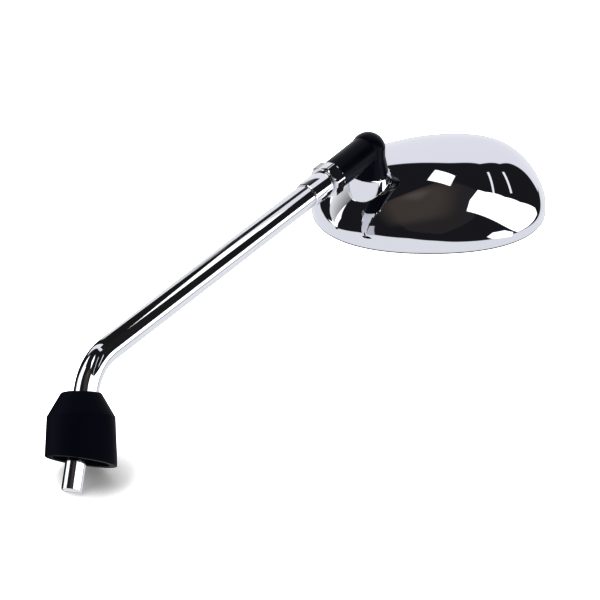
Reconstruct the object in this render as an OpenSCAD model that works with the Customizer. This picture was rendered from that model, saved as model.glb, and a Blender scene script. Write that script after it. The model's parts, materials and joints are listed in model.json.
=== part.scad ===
// Motorcycle mirror: a clamped pin and bent stem with a rubber boot, an elbow locked on by
// a nut, and an oval mirror head on a sprung ball joint.
// The stem's pin is upright, with the origin on its axis at the underside of the boot.

/* [Mounting pin] */
// Diameter of the pin that the clamp holds
pin_d = 10; // [8:0.5:11]
// Length of pin that shows below the boot
pin_out = 15; // [8:1:24]
// Chamfer at the pin's tip
pin_chamfer = 0.8; // [0.4:0.1:1.5]
// Depth of the pin's turned-down end in the tube
pin_plug = 14; // [8:1:16]

/* [Stem] */
// Outside diameter of the tube
tube_d = 12; // [11.5:0.5:14]
// Wall of the tube
tube_wall = 1.5; // [1.2:0.1:1.8]
// Angle between the pin and the long arm
bend_angle = 51; // [35:1:65]
// Radius of the bend at the tube's centre line
bend_r = 28; // [20:1:30]
// Height of the corner where the two straight lines meet
corner_h = 48; // [46:1:60]
// Arm from that corner to the elbow's centre
arm_len = 231; // [180:1:280]

/* [Boot] */
// Height of the boot on the pin's axis
boot_h = 33; // [32:0.5:38]
// Outside diameter at the boot's top
boot_top_d = 20; // [18:0.5:22]
// Outside diameter at the shoulder
boot_shoulder_d = 33; // [30:0.5:36]
// Outside diameter at the skirt's foot
boot_base_d = 34.8; // [33:0.2:38]
// Height of the cone between shoulder and top
boot_cone_h = 11.7; // [9:0.1:13]
// Thickness of the skirt
boot_wall = 2.6; // [2:0.1:4]
// Length of the boot's grip on the tube
boot_grip = 15; // [10:0.5:18]
// Lean of the boot's own axis from the pin
boot_lean = 8; // [0:0.5:9]
// Direction that the boot leans in, seen from above
boot_lean_way = 131.5; // [0:0.5:360]

/* [Sleeve, stud and nut] */
// Outside diameter of the sleeve at the arm's end
sleeve_d = 13.6; // [13.2:0.1:16]
// Length of the sleeve
sleeve_len = 15; // [13:0.5:22]
// Depth of the tube in the sleeve
sleeve_socket = 10; // [6:0.5:11]
// Diameter of the threaded stud
stud_d = 8; // [6:0.5:8.5]
// Stud held in the tube beyond the sleeve's socket floor
stud_tail = 8; // [4:0.5:12]
// Nut size across its flats
nut_af = 16; // [14:0.5:18]
// Nut thickness
nut_t = 7.4; // [5:0.2:9]
// Turn of the nut about the arm
nut_turn = 0; // [0:1:60]

/* [Elbow] */
// Diameter of the elbow's leg on the arm, at the elbow
leg_d = 15.8; // [15.4:0.2:17]
// Diameter of that leg at its end on the nut
leg_end_d = 15.2; // [14.8:0.2:16.4]
// Length of that leg from the elbow's centre
leg_len = 31; // [26:0.5:34]
// Diameter of the elbow's leg down to the head
neck_d = 17.4; // [16.6:0.2:18.2]
// Outside diameter of the foot on the ball
foot_d = 20.6; // [19.6:0.2:21.6]
// Height of the flare between neck and foot
flare_h = 8; // [4:0.5:9]
// Straight rim below the flare
foot_rim = 0.8; // [0.6:0.2:2]
// Outside diameter of the brass insert for the stem's stud
stem_insert_d = 11.5; // [11:0.5:12]
// Length of that insert
stem_insert_len = 15; // [10:0.5:16]
// Outside diameter of the brass insert for the pivot stud
pivot_insert_d = 9; // [8:0.5:10]
// Length of that insert
pivot_insert_len = 7; // [5:0.5:7]
// Turn of the head about the arm
head_roll = 21.5; // [0:0.5:45]
// Turn of the head's long axis from the arm
head_yaw = -54; // [-90:1:0]

/* [Ball joint] */
// Radius of the ball surface on top of the shell's boss
boss_r = 14; // [13.6:0.1:14.6]
// Outside diameter of the boss below the ball surface
boss_d = 23; // [22.6:0.2:24]
// Wall of the ball boss
boss_wall = 2; // [1.6:0.1:2.4]
// Thickness of the outer liner
outer_liner_t = 0.6; // [0.4:0.1:1]
// Thickness of the inner liner
inner_liner_t = 0.8; // [0.5:0.1:1]
// Height of the ball's centre above the rim
ball_h = 22.5; // [21:0.5:24]
// Elbow's centre above the ball's centre
elbow_rise = 23.5; // [23.5:0.5:26]
// Ball's centre along the head's long axis
ball_x = -31.5; // [-34:0.5:-28]
// Ball's centre across the head
ball_y = -12.5; // [-14:0.5:-11]
// Largest tilt of the head on the ball
tilt_max = 14; // [8:1:15]
// Diameter of the pivot stud
pivot_d = 6; // [5:0.5:6]
// Wire of the pivot spring
wire_d = 1.4; // [1:0.1:1.6]
// Outside diameter of the pivot spring
spring_d = 12; // [11:0.2:12.6]
// Turns of the pivot spring
spring_turns = 4; // [3:0.5:5]
// Height of the pivot spring as fitted
spring_h = 9.5; // [8.5:0.5:11]
// Thickness of the washer under the spring
washer_t = 1.2; // [0.8:0.1:1.6]
// Pivot nut's thickness
pivot_nut_t = 5; // [4:0.5:6]
// Pivot nut's size across its flats
pivot_nut_af = 10; // [9:0.5:11]

/* [Mirror head] */
// Length of the head
head_l = 120; // [114:1:130]
// Width of the head
head_w = 80.5; // [78:0.5:92]
// Height of the shell's top above the rim
head_h = 38; // [35:0.5:40]
// Height of the steep wall round the rim
rim_wall_h = 5; // [4.5:0.5:8]
// Squareness of the oval, where 2 is an ellipse
squareness = 2.25; // [2:0.05:2.6]
// Shift of the shell's top along the head
top_shift_x = 27; // [8:1:29]
// Shift of the shell's top across the head
top_shift_y = 4; // [-4:0.5:6]
// Wall of the shell
shell_wall = 2.2; // [1.8:0.1:2.6]
// Radius of curvature of the convex glass
glass_curve_r = 1200; // [1000:50:1600]
// Thickness of the glass
glass_t = 2; // [1.8:0.1:2.4]
// Thickness of the adhesive pad
pad_t = 0.8; // [0.5:0.1:1]
// Thickness of the carrier at its middle
carrier_t = 2.8; // [2.6:0.1:3.4]
// Thickness of the seal's lip below the shell
lip_t = 0.8; // [0.6:0.1:1.2]
// Width of the seal's lip
lip_w = 4.4; // [4:0.1:6]
// Thickness of the seal's web round the glass
web_t = 1; // [0.8:0.1:1.4]
// Diameter of the carrier screws
screw_d = 3; // [2.5:0.5:3.5]
// Length of the carrier screws
screw_len = 10; // [8:1:12]
// Diameter of the shell's screw posts
post_d = 8; // [7:0.5:10]

/* [Hidden] */
$fn = 72;

// Radial gap of a pressed or glued seat
seat_gap = 0.02;
// Radial gap of a turning fit
run_gap = 0.05;
// Gap between flat faces that turn on each other
face_gap = 0.1;
// Overrun of every cut
over = 1;

// Stem
tube_r = tube_d / 2;
bore_r = tube_r - tube_wall;
pin_r = pin_d / 2;
tangent_len = bend_r * tan(bend_angle / 2);
bend_start_h = corner_h - tangent_len;
boot_mid_h = boot_h / 2;
boot_floor_h = boot_h - boot_grip;
tube_start_h = boot_floor_h - 4;
// Distances back down the arm from the elbow's centre
nut_top = leg_len + face_gap;
nut_foot = nut_top + nut_t;
sleeve_top = nut_foot + face_gap;
sleeve_foot = sleeve_top + sleeve_len;
tube_end = sleeve_foot - sleeve_socket;
stem_insert_end = leg_len - stem_insert_len;
stud_top = stem_insert_end + 1;
stud_foot = tube_end + stud_tail;

// Ball joint, as radii and heights from the ball's centre
boss_in_r = boss_r - boss_wall;
boss_bore_r = boss_d / 2 - boss_wall;
dish_edge_r = boss_bore_r - 1.9;
inner_liner_edge_r = boss_bore_r - 1.8;
outer_liner_in_r = boss_r + run_gap;
outer_liner_out_r = outer_liner_in_r + outer_liner_t;
foot_in_r = outer_liner_out_r + run_gap;
inner_liner_out_r = boss_in_r - run_gap;
inner_liner_in_r = inner_liner_out_r - inner_liner_t;
dish_r = inner_liner_in_r - run_gap;
pivot_r = pivot_d / 2;
boss_hole_r = pivot_r + boss_r * sin(tilt_max) + 0.3;
liner_hole_r = pivot_r + inner_liner_out_r * sin(tilt_max) * 0.75 + 0.2;
spring_top = 7.4;
dish_floor = 4.5;
spring_pocket_r = spring_d / 2 + 0.4;
spring_foot = spring_top - spring_h;
washer_foot = spring_foot - washer_t;
washer_r = spring_d / 2 + 1;
pivot_nut_foot = washer_foot - pivot_nut_t;
pivot_end = pivot_nut_foot - 0.8;
pivot_insert_foot = foot_in_r + 0.2;
pivot_insert_top = pivot_insert_foot + pivot_insert_len;
foot_edge = sqrt(foot_in_r ^ 2 - (foot_d / 2) ^ 2);

// Mirror head, as insets from the oval outline and heights from the rim
outline_steps = 72;
dome_steps = 12;
wall_steps = 2;
wall_swell = 0.955;
crown_swell = 1.4;
web_h = 4.4;
web_inset = shell_wall + 0.1;
glass_inset = web_inset + web_t + 0.1;
lip_inset = 0.4;
glass_front = 0.3;
curve_centre_h = glass_front + glass_curve_r;
carrier_back = glass_front + glass_t + pad_t + carrier_t;
post_foot = carrier_back + 0.02;
screw_ring_x = 30;
screw_ring_y = 24;
screw_ring_centre = 8;
screw_spots = [for (a = [0, 120, 240])
    [screw_ring_centre + screw_ring_x * cos(a), screw_ring_y * sin(a)]];
screw_head_r = screw_d * 0.95;
pad_rise = (screw_ring_centre + screw_ring_x + screw_head_r) ^ 2 / 2 / glass_curve_r;
screw_seat_h = glass_front + glass_t + pad_t + pad_rise + 0.2;

// Places what follows at the elbow's centre, X along the arm and Z out of the head's back
module at_elbow() {
    translate([arm_len * sin(bend_angle), 0, corner_h + arm_len * cos(bend_angle)])
        rotate([0, bend_angle - 90, 0])
            rotate([head_roll, 0, 0])
                children();
}

// Places what follows at the ball's centre
module at_ball() {
    at_elbow()
        translate([0, 0, -elbow_rise])
            children();
}

// Places what follows in the head's frame, at the middle of the rim
module at_head() {
    at_ball()
        rotate([0, 0, head_yaw])
            translate([-ball_x, -ball_y, -ball_h])
                children();
}

// Places what follows on the arm, a distance back from the elbow, Z towards the elbow
module on_arm(back) {
    translate([0, 0, corner_h])
        rotate([0, bend_angle, 0])
            translate([0, 0, arm_len - back])
                children();
}

// A round bar with a chamfer at both ends
module chamfered_bar(r, h, c) {
    rotate_extrude()
        polygon([[0, 0], [r - c, 0], [r, c], [r, h - c], [r - c, h], [0, h]]);
}

// A six-sided nut with chamfered corners
module hex_nut(af, t, hole_r) {
    corner_r = af / 2 / cos(30);
    chamfer = corner_r - af / 2;
    difference() {
        intersection() {
            cylinder(r = corner_r, h = t, $fn = 6);
            rotate_extrude()
                polygon([[0, 0], [af / 2, 0], [corner_r + 0.01, chamfer * 0.7],
                    [corner_r + 0.01, t - chamfer * 0.7], [af / 2, t], [0, t]]);
        }
        translate([0, 0, -over])
            cylinder(r = hole_r, h = t + 2 * over);
    }
}

// A bent rod along the stem's centre line, run past the tube's ends by a length. The bend is a
// hair thicker than the straights, which reach a little way into it.
module stem_rod(r, past) {
    lap = 0.5;
    hair = 0.02;
    translate([0, 0, tube_start_h - past])
        cylinder(r = r, h = bend_start_h - tube_start_h + past + lap);
    translate([bend_r, 0, bend_start_h])
        rotate([90, 0, 0])
            rotate_extrude(angle = bend_angle, start = 180 - bend_angle)
                translate([bend_r, 0])
                    circle(r + hair);
    on_arm(arm_len - tangent_len + lap)
        cylinder(r = r, h = arm_len - tangent_len + lap - tube_end + past);
}

// Point on the oval at an angle, for half axes a and b and squareness n
function oval_point(a, b, n, angle) = [
    sign(cos(angle)) * a * abs(cos(angle)) ^ (2 / n),
    sign(sin(angle)) * b * abs(sin(angle)) ^ (2 / n)];

// The flat oval, inset from the head's outline
module oval(inset) {
    polygon([for (i = [0 : outline_steps - 1])
        oval_point(head_l / 2 - inset, head_w / 2 - inset, squareness, 360 * i / outline_steps)]);
}

// One ring of the shell's surface: its share of the oval, its height and its shift to the top
function dome_ring(share, h, inset, crown) = [for (i = [0 : outline_steps - 1])
    let (p = oval_point((head_l / 2 - inset) * share, (head_w / 2 - inset) * share,
        2 + (squareness - 2) * crown, 360 * i / outline_steps))
    [p[0] + top_shift_x * (1 - crown), p[1] + top_shift_y * (1 - crown), h]];

function wall_rings(foot, inset) = [for (i = [0 : wall_steps - 1])
    let (h = foot + (rim_wall_h - foot) * i / wall_steps)
    dome_ring(1, h, inset, 1)];

function crown_rings(inset) = [for (i = [0 : dome_steps - 1])
    let (k = 90 * i / dome_steps, crown = cos(k) ^ wall_swell)
    dome_ring(crown, rim_wall_h + (head_h - inset - rim_wall_h) * sin(k) ^ crown_swell,
        inset, crown)];

// The solid inside the shell's surface, from a foot height up to the crown
module dome(foot, inset) {
    rings = concat(wall_rings(foot, inset), crown_rings(inset));
    count = len(rings);
    n = outline_steps;
    points = concat([for (ring = rings) each ring], [[top_shift_x, top_shift_y, head_h - inset]]);
    faces = concat(
        [[for (i = [0 : n - 1]) i]],
        [for (r = [0 : count - 2], i = [0 : n - 1]) each [
            [r * n + i, (r + 1) * n + i, r * n + (i + 1) % n],
            [r * n + (i + 1) % n, (r + 1) * n + i, (r + 1) * n + (i + 1) % n]]],
        [for (i = [0 : n - 1]) [(count - 1) * n + i, count * n, (count - 1) * n + (i + 1) % n]]);
    polyhedron(points = points, faces = faces, convexity = 4);
}

// Everything behind a surface that runs parallel to the glass's front, up to a flat top
module behind_glass(drop, top) {
    reach = head_l / 2 + 5;
    bands = 12;
    r = glass_curve_r - drop;
    rotate_extrude()
        polygon(concat(
            [for (i = [0 : bands])
                let (x = reach * i / bands)
                [x, curve_centre_h - sqrt(r ^ 2 - x ^ 2)]],
            [[reach, top], [0, top]]));
}

// A slice of the head between two surfaces parallel to the glass
module glass_layer(inset, front, back) {
    intersection() {
        linear_extrude(carrier_back + 5)
            oval(inset);
        difference() {
            behind_glass(front, carrier_back + 4);
            behind_glass(back, carrier_back + 5);
        }
    }
}

module mounting_pin() {
    plug_r = bore_r - seat_gap;
    color("gainsboro")
        rotate_extrude()
            polygon([[0, -pin_out], [pin_r - pin_chamfer, -pin_out], [pin_r, -pin_out + pin_chamfer],
                [pin_r, tube_start_h - seat_gap], [plug_r, tube_start_h - seat_gap],
                [plug_r, tube_start_h + pin_plug], [0, tube_start_h + pin_plug]]);
}

module stem_tube() {
    color("gainsboro")
        difference() {
            stem_rod(tube_r, 0);
            stem_rod(bore_r, over);
        }
}

module stem_boot() {
    top = boot_h - boot_mid_h;
    shoulder = top - boot_cone_h;
    base = -boot_mid_h - 5;
    base_r = boot_base_d / 2;
    shoulder_r = boot_shoulder_d / 2;
    top_r = boot_top_d / 2;
    edge = 1.2;
    hollow_r = shoulder_r - boot_wall;
    hollow_top = boot_floor_h - boot_mid_h;
    color("#1b1c20")
        difference() {
            translate([0, 0, boot_mid_h])
                rotate([0, boot_lean * cos(boot_lean_way), 0])
                    rotate([-boot_lean * sin(boot_lean_way), 0, 0])
                        difference() {
                            rotate_extrude()
                                polygon([[0, base], [base_r, base], [base_r, -boot_mid_h],
                                    [shoulder_r, shoulder - edge], [shoulder_r - edge * 0.4, shoulder],
                                    [top_r, top - edge], [top_r - edge, top], [0, top]]);
                            rotate_extrude()
                                polygon([[0, base - over], [hollow_r, base - over],
                                    [hollow_r, hollow_top - 3], [hollow_r - 3, hollow_top],
                                    [0, hollow_top]]);
                        }
            translate([0, 0, -boot_h])
                cylinder(r = boot_base_d, h = boot_h);
            cylinder(r = tube_r + seat_gap, h = 2 * boot_h);
        }
}

module stem_sleeve() {
    r = sleeve_d / 2;
    edge = 0.5;
    color("gainsboro")
        on_arm(sleeve_foot)
            rotate_extrude()
                polygon([[tube_r + seat_gap, 0], [r - edge / 2, 0], [r, edge], [r, sleeve_len - edge],
                    [r - edge, sleeve_len], [stud_d / 2 + seat_gap, sleeve_len],
                    [stud_d / 2 + seat_gap, sleeve_socket + seat_gap],
                    [tube_r + seat_gap, sleeve_socket + seat_gap]]);
}

module stem_stud() {
    color("silver")
        on_arm(stud_foot)
            chamfered_bar(stud_d / 2, stud_foot - stud_top, 0.6);
}

module lock_nut() {
    color("silver")
        on_arm(nut_foot)
            rotate([0, 0, nut_turn])
                hex_nut(nut_af, nut_t, stud_d / 2 + seat_gap);
}

module elbow_body() {
    foot_r = foot_d / 2;
    neck_r = neck_d / 2;
    edge = 0.6;
    rim_foot = -elbow_rise + foot_edge;
    rim_top = rim_foot + foot_rim;
    color("#202226")
        at_elbow()
            difference() {
                union() {
                    sphere(neck_r);
                    rotate([0, -90, 0])
                        rotate_extrude()
                            polygon([[0, 0], [leg_d / 2, 0], [leg_end_d / 2, leg_len - edge],
                                [leg_end_d / 2 - edge, leg_len], [0, leg_len]]);
                    rotate_extrude()
                        polygon([[0, 0], [neck_r, 0], [neck_r, rim_top + flare_h],
                            [foot_r, rim_top], [foot_r, rim_foot], [0, rim_foot]]);
                }
                translate([0, 0, -elbow_rise])
                    sphere(foot_in_r);
                translate([0, 0, -elbow_rise])
                    cylinder(r = pivot_insert_d / 2, h = pivot_insert_top + 0.2);
                rotate([0, -90, 0])
                    translate([0, 0, stem_insert_end])
                        cylinder(r = stem_insert_d / 2, h = stem_insert_len + over);
            }
}

module stem_insert() {
    color("goldenrod")
        on_arm(leg_len - face_gap)
            difference() {
                cylinder(r = stem_insert_d / 2 - seat_gap, h = stem_insert_len - face_gap);
                translate([0, 0, -over])
                    cylinder(r = stud_d / 2 + run_gap, h = stem_insert_len + 2 * over);
            }
}

module pivot_insert() {
    color("goldenrod")
        at_ball()
            translate([0, 0, pivot_insert_foot])
                difference() {
                    cylinder(r = pivot_insert_d / 2 - seat_gap, h = pivot_insert_len);
                    translate([0, 0, -over])
                        cylinder(r = pivot_r + seat_gap, h = pivot_insert_len + 2 * over);
                }
}

module pivot_stud() {
    color("silver")
        at_ball()
            translate([0, 0, pivot_end])
                chamfered_bar(pivot_r, pivot_insert_top - pivot_end, 0.5);
}

module outer_liner() {
    color("#3a3c40")
        at_ball()
            difference() {
                sphere(outer_liner_out_r);
                sphere(outer_liner_in_r);
                cylinder(r = pivot_r + 0.4, h = 2 * boss_r);
                translate([0, 0, foot_edge - 2 * boss_r])
                    cylinder(r = 2 * boss_r, h = 2 * boss_r);
            }
}

module inner_liner() {
    edge_h = sqrt(inner_liner_out_r ^ 2 - inner_liner_edge_r ^ 2);
    color("#3a3c40")
        at_ball()
            difference() {
                sphere(inner_liner_out_r);
                sphere(inner_liner_in_r);
                cylinder(r = liner_hole_r, h = 2 * boss_r);
                translate([0, 0, edge_h - 2 * boss_r])
                    cylinder(r = 2 * boss_r, h = 2 * boss_r);
            }
}

module pressure_dish() {
    color("silver")
        at_ball()
            difference() {
                intersection() {
                    sphere(dish_r);
                    translate([0, 0, dish_floor])
                        cylinder(r = dish_edge_r, h = boss_r);
                }
                cylinder(r = spring_pocket_r, h = spring_top + seat_gap);
                cylinder(r = pivot_r + run_gap, h = 2 * boss_r);
            }
}

module pivot_spring() {
    coil_r = (spring_d - wire_d) / 2;
    sides = 8;
    steps = 24;
    rings = spring_turns * steps;
    rise = spring_h - wire_d - 0.1;
    points = [for (i = [0 : rings], s = [0 : sides - 1])
        let (turn = 360 * i / steps, a = 360 * s / sides, r = coil_r + wire_d / 2 * cos(a))
        [r * cos(turn), r * sin(turn), rise * i / rings + wire_d / 2 * sin(a)]];
    faces = concat(
        [[for (s = [0 : sides - 1]) s]],
        [for (i = [0 : rings - 1], s = [0 : sides - 1]) each [
            [i * sides + s, (i + 1) * sides + s, i * sides + (s + 1) % sides],
            [i * sides + (s + 1) % sides, (i + 1) * sides + s, (i + 1) * sides + (s + 1) % sides]]],
        [[for (s = [sides - 1 : -1 : 0]) rings * sides + s]]);
    color("silver")
        at_ball()
            translate([0, 0, spring_foot + wire_d / 2 + 0.05])
                polyhedron(points = points, faces = faces, convexity = 8);
}

module spring_washer() {
    color("silver")
        at_ball()
            translate([0, 0, washer_foot])
                difference() {
                    cylinder(r = washer_r, h = washer_t);
                    translate([0, 0, -over])
                        cylinder(r = pivot_r + run_gap, h = washer_t + 2 * over);
                }
}

module pivot_nut() {
    color("silver")
        at_ball()
            translate([0, 0, pivot_nut_foot])
                hex_nut(pivot_nut_af, pivot_nut_t, pivot_r + seat_gap);
}

// The posts inside the shell that take the carrier screws
module screw_posts() {
    for (p = screw_spots)
        translate([p[0], p[1], post_foot])
            cylinder(r = post_d / 2, h = head_h);
}

module head_shell() {
    skirt = 2.5;
    color("gainsboro")
        at_head()
            difference() {
                union() {
                    difference() {
                        dome(lip_t + seat_gap, 0);
                        difference() {
                            dome(0, shell_wall);
                            screw_posts();
                        }
                    }
                    translate([ball_x, ball_y, ball_h])
                        intersection() {
                            sphere(boss_r);
                            translate([0, 0, -skirt])
                                cylinder(r = boss_d / 2, h = 2 * boss_r);
                        }
                }
                translate([ball_x, ball_y, ball_h]) {
                    intersection() {
                        sphere(boss_in_r);
                        translate([0, 0, -boss_r])
                            cylinder(r = boss_bore_r, h = 2 * boss_r);
                    }
                    cylinder(r = boss_hole_r, h = 2 * boss_r);
                }
                for (p = screw_spots)
                    translate([p[0], p[1], 0])
                        cylinder(r = screw_d / 2 + seat_gap, h = screw_seat_h + screw_len + 0.5);
            }
}

module rim_seal() {
    color("#1b1c20")
        at_head()
            difference() {
                union() {
                    linear_extrude(lip_t)
                        oval(lip_inset);
                    linear_extrude(web_h)
                        oval(web_inset);
                }
                translate([0, 0, -over])
                    linear_extrude(2 * over + web_h)
                        oval(lip_inset + lip_w);
                glass_layer(glass_inset - 0.08, -seat_gap, carrier_back);
            }
}

module mirror_glass() {
    color("lightsteelblue")
        at_head()
            glass_layer(glass_inset, 0, glass_t);
}

module adhesive_pad() {
    color("#55585c")
        at_head()
            glass_layer(glass_inset + 2, glass_t + seat_gap, glass_t + pad_t - seat_gap);
}

module glass_carrier() {
    color("#2a2b2f")
        at_head()
            difference() {
                intersection() {
                    linear_extrude(carrier_back)
                        oval(glass_inset + 0.3);
                    behind_glass(glass_t + pad_t, carrier_back);
                }
                for (p = screw_spots)
                    translate([p[0], p[1], 0]) {
                        cylinder(r = screw_d / 2 + 0.15, h = carrier_back + over);
                        cylinder(r = screw_head_r + 0.1, h = screw_seat_h);
                        translate([0, 0, screw_seat_h - 0.01])
                            cylinder(r1 = screw_head_r + 0.1, r2 = screw_d / 2,
                                h = screw_head_r + 0.1 - screw_d / 2);
                    }
            }
}

module carrier_screws() {
    cone_h = screw_head_r - screw_d / 2;
    color("silver")
        at_head()
            for (p = screw_spots)
                translate([p[0], p[1], screw_seat_h])
                    rotate_extrude()
                        polygon([[0, -0.05], [screw_head_r, -0.05], [screw_head_r, 0],
                            [screw_d / 2, cone_h], [screw_d / 2, screw_len - 1], [0.4, screw_len], [0, screw_len]]);
}

mounting_pin();
stem_tube();
stem_boot();
stem_sleeve();
stem_stud();
lock_nut();
elbow_body();
stem_insert();
pivot_insert();
pivot_stud();
pressure_dish();
pivot_spring();
spring_washer();
pivot_nut();
outer_liner();
inner_liner();
head_shell();
rim_seal();
mirror_glass();
adhesive_pad();
glass_carrier();
carrier_screws();
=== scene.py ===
"""Motorcycle mirror: the dressed model, its studio and its camera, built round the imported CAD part."""

from __future__ import annotations

import json
import logging
from dataclasses import dataclass
from enum import Enum
from math import atan2, cos, pi, radians, sin, sqrt, tan
from typing import Callable, Sequence

import bmesh
import bpy
import numpy as np
from mathutils import Matrix, Vector

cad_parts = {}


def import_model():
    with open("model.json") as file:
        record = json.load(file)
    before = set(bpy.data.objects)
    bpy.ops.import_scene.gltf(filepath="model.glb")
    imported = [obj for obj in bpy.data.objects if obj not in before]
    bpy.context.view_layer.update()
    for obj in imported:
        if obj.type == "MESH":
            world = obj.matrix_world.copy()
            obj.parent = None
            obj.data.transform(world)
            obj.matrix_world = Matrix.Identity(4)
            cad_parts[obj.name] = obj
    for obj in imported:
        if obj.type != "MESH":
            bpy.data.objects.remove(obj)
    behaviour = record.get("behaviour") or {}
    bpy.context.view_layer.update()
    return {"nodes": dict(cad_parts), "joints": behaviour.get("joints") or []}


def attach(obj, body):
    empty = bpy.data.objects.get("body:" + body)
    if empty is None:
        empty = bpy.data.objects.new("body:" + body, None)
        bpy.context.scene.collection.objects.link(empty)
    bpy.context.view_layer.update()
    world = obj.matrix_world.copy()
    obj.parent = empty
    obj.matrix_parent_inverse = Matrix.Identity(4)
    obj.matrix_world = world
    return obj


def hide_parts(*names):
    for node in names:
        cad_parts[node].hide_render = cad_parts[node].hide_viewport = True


LOG = logging.getLogger("mirror")
MM = 0.001
MERGE = 1e-4
SHARP = 38.0
Point = tuple[float, float]
Corner = tuple[float, float, float]
Colour = tuple[float, float, float, float]
Socket = bpy.types.NodeSocket
Value = float | tuple | Vector | Socket


class Slot(Enum):
    """The finishes of the record's material slots."""

    PIN = "pin_steel"
    STEM = "stem_chrome"
    BOOT = "boot_rubber"
    NUT = "nut_chrome"
    ZINC = "zinc_steel"
    ELBOW = "elbow_black"
    BRASS = "brass"
    SPRING = "spring_steel"
    LINER = "liner_plastic"
    SHELL = "shell_chrome"
    SEAL = "seal_rubber"
    GLASS = "mirror_glass"
    PAD = "pad_foam"
    CARRIER = "carrier_plastic"


@dataclass(frozen=True)
class Axes:
    """A right-handed set of axes in the row frame.

    Args:
        origin: where the axes meet, in metres.
        x: first axis, of length one.
        y: second axis.
        z: third axis.
    """

    origin: Vector
    x: Vector
    y: Vector
    z: Vector

    def matrix(self) -> Matrix:
        """The transform from millimetres on these axes to metres in the row frame."""
        turn = Matrix((self.x, self.y, self.z)).transposed().to_4x4()
        return Matrix.Translation(self.origin) @ turn @ Matrix.Scale(MM, 4)

    def moved(self, x: float, y: float, z: float) -> Axes:
        """The same axes at a point given on them, in millimetres."""
        return Axes(self.matrix() @ Vector((x, y, z)), self.x, self.y, self.z)


@dataclass(frozen=True)
class Layout:
    """Where the part's sub-assemblies stand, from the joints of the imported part.

    Args:
        pin: on the pin's axis at the boot's underside, Z upwards.
        arm: at the elbow's centre, Z away from the boot along the arm.
        elbow: at the elbow's centre, X along the arm and Z out of the head's back.
        ball: at the ball's centre, turned with the head.
        head: at the middle of the head's rim, X along the head and Z out of its back.
    """

    pin: Axes
    arm: Axes
    elbow: Axes
    ball: Axes
    head: Axes

    @staticmethod
    def from_joints(joints: Sequence[dict], ball_spot: Corner) -> Layout:
        """Reads the axes off the joints.

        Args:
            joints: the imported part's joints.
            ball_spot: the ball's centre on the head's axes, in millimetres.

        Returns:
            The layout in the row frame.
        """
        by_name = {joint["name"]: joint for joint in joints}

        def line(name: str) -> tuple[Vector, Vector]:
            """Position and axis of a joint."""
            joint = by_name[name]
            return Vector(joint["pos_m"]), Vector(joint["axis"]).normalized()

        elbow_at, along = line("elbow_swivel")
        ball_at, back = line("head_turn")
        head_x = line("head_tilt_across")[1]
        head_y = back.cross(head_x).normalized()
        up = Vector((0, 0, 1))
        side = up.cross(along).normalized()
        ball = Axes(ball_at, head_x, head_y, back)
        return Layout(
            pin=Axes(Vector((0, 0, 0)), Vector((1, 0, 0)), Vector((0, 1, 0)), up),
            arm=Axes(elbow_at, side.cross(along), side, along),
            elbow=Axes(elbow_at, along, back.cross(along).normalized(), back),
            ball=ball,
            head=ball.moved(*(-value for value in ball_spot)),
        )


# Mesh tools

def rounded(corners: Sequence[Corner], steps: int = 5) -> list[Point]:
    """Rounds the corners of an open profile.

    Args:
        corners: radius from the axis, height and rounding radius of each corner.
        steps: chords in each rounding.

    Returns:
        The profile's points, with an arc for each corner that has a rounding radius.
    """
    points: list[Point] = []
    for index, (x, z, radius) in enumerate(corners):
        here = Vector((x, z))
        if radius <= 0 or index in (0, len(corners) - 1):
            points.append((x, z))
            continue
        back = Vector(corners[index - 1][:2]) - here
        ahead = Vector(corners[index + 1][:2]) - here
        half = back.angle(ahead) / 2
        reach = min(radius / tan(half), back.length * 0.49, ahead.length * 0.49)
        real = reach * tan(half)
        middle = here + (back.normalized() + ahead.normalized()).normalized() * real / sin(half)
        start = here + back.normalized() * reach - middle
        end = here + ahead.normalized() * reach - middle
        turn = atan2(start.x * end.y - start.y * end.x, start.dot(end))
        for step in range(steps + 1):
            angle = turn * step / steps
            point = middle + Matrix.Rotation(angle, 2) @ start
            points.append((point.x, point.y))
    return points


def spun(bm: bmesh.types.BMesh, profile: Sequence[Point], closed: bool, steps: int = 96,
         place: Matrix | None = None) -> None:
    """Adds a profile spun about Z.

    Args:
        bm: the mesh to add to.
        profile: radius and height of each point.
        closed: True where the last point joins the first.
        steps: how many faces go round.
        place: where the spun shape goes.
    """
    old = set(bm.verts)
    verts = [bm.verts.new((x, 0, z)) for x, z in profile]
    pairs = list(zip(verts, verts[1:])) + ([(verts[-1], verts[0])] if closed else [])
    edges = [bm.edges.new(pair) for pair in pairs]
    bmesh.ops.spin(bm, geom=verts + edges, cent=(0, 0, 0), axis=(0, 0, 1), dvec=(0, 0, 0),
                   angle=2 * pi, steps=steps, use_merge=True, use_duplicate=False)
    new = [vert for vert in bm.verts if vert not in old]
    bmesh.ops.remove_doubles(bm, verts=new, dist=MERGE)
    new = [vert for vert in bm.verts if vert not in old]
    if place is not None:
        bmesh.ops.transform(bm, matrix=place, verts=new)


def ring(bm: bmesh.types.BMesh, radius: float, place: Matrix, sides: int = 96
         ) -> list[bmesh.types.BMEdge]:
    """Adds a circle.

    Args:
        bm: the mesh to add to.
        radius: the circle's radius.
        place: where its plane lies, Z square to it.
        sides: how many edges it has.

    Returns:
        The circle's edges.
    """
    made = bmesh.ops.create_circle(bm, cap_ends=False, segments=sides, radius=radius, matrix=place)
    return list({edge for vert in made["verts"] for edge in vert.link_edges})


def bridged(bm: bmesh.types.BMesh, rings: Sequence[list[bmesh.types.BMEdge]]) -> None:
    """Joins each ring to the next with faces."""
    for first, second in zip(rings, rings[1:]):
        bmesh.ops.bridge_loops(bm, edges=first + second)


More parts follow.
